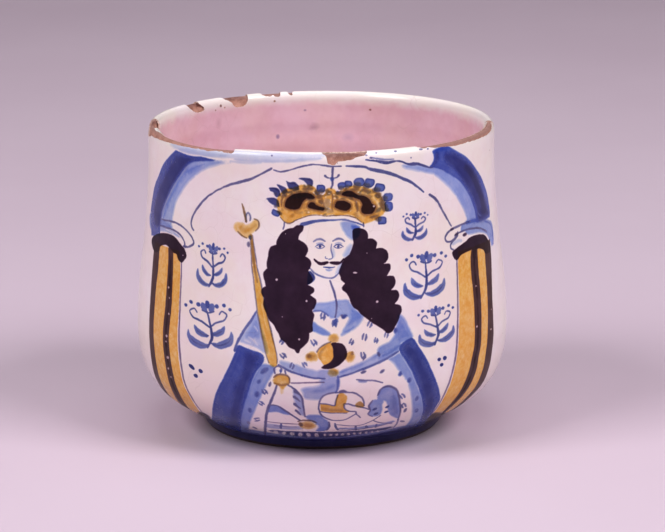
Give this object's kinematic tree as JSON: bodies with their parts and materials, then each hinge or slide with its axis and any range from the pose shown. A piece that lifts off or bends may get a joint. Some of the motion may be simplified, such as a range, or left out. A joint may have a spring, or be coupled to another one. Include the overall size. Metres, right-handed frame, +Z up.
{
  "type": "drinking cup",
  "caption": "Wide, squat tin-glazed earthenware cup with a swelling body, straight neck, low turned foot ring and a chipped, worn lip.",
  "frame": {"origin": "middle of the foot ring, on the surface that the cup stands on", "axes": "+Z up along the cup's axis, -Y out of the painted front, +X to the front's right"},
  "size_m": [0.1032, 0.1032, 0.085],
  "materials": {
    "clay": "bare fired earthenware, rough and chalky, buff to brick red",
    "glaze_outside": "white tin glaze, glossy, warm white, with in-glaze painting",
    "glaze_inside": "tin glaze, glossy, pinkish where it lies thinner on the clay"
  },
  "bodies": {
    "root": {"clay_body": "clay", "outer_glaze": "glaze_outside", "inner_glaze": "glaze_inside", "underside_glaze": "glaze_outside", "rim_glaze_front": "glaze_outside", "rim_glaze_back": "glaze_outside", "rim_glaze_back_left": "glaze_outside", "rim_glaze_left": "glaze_outside"}
  },
  "joints": []
}
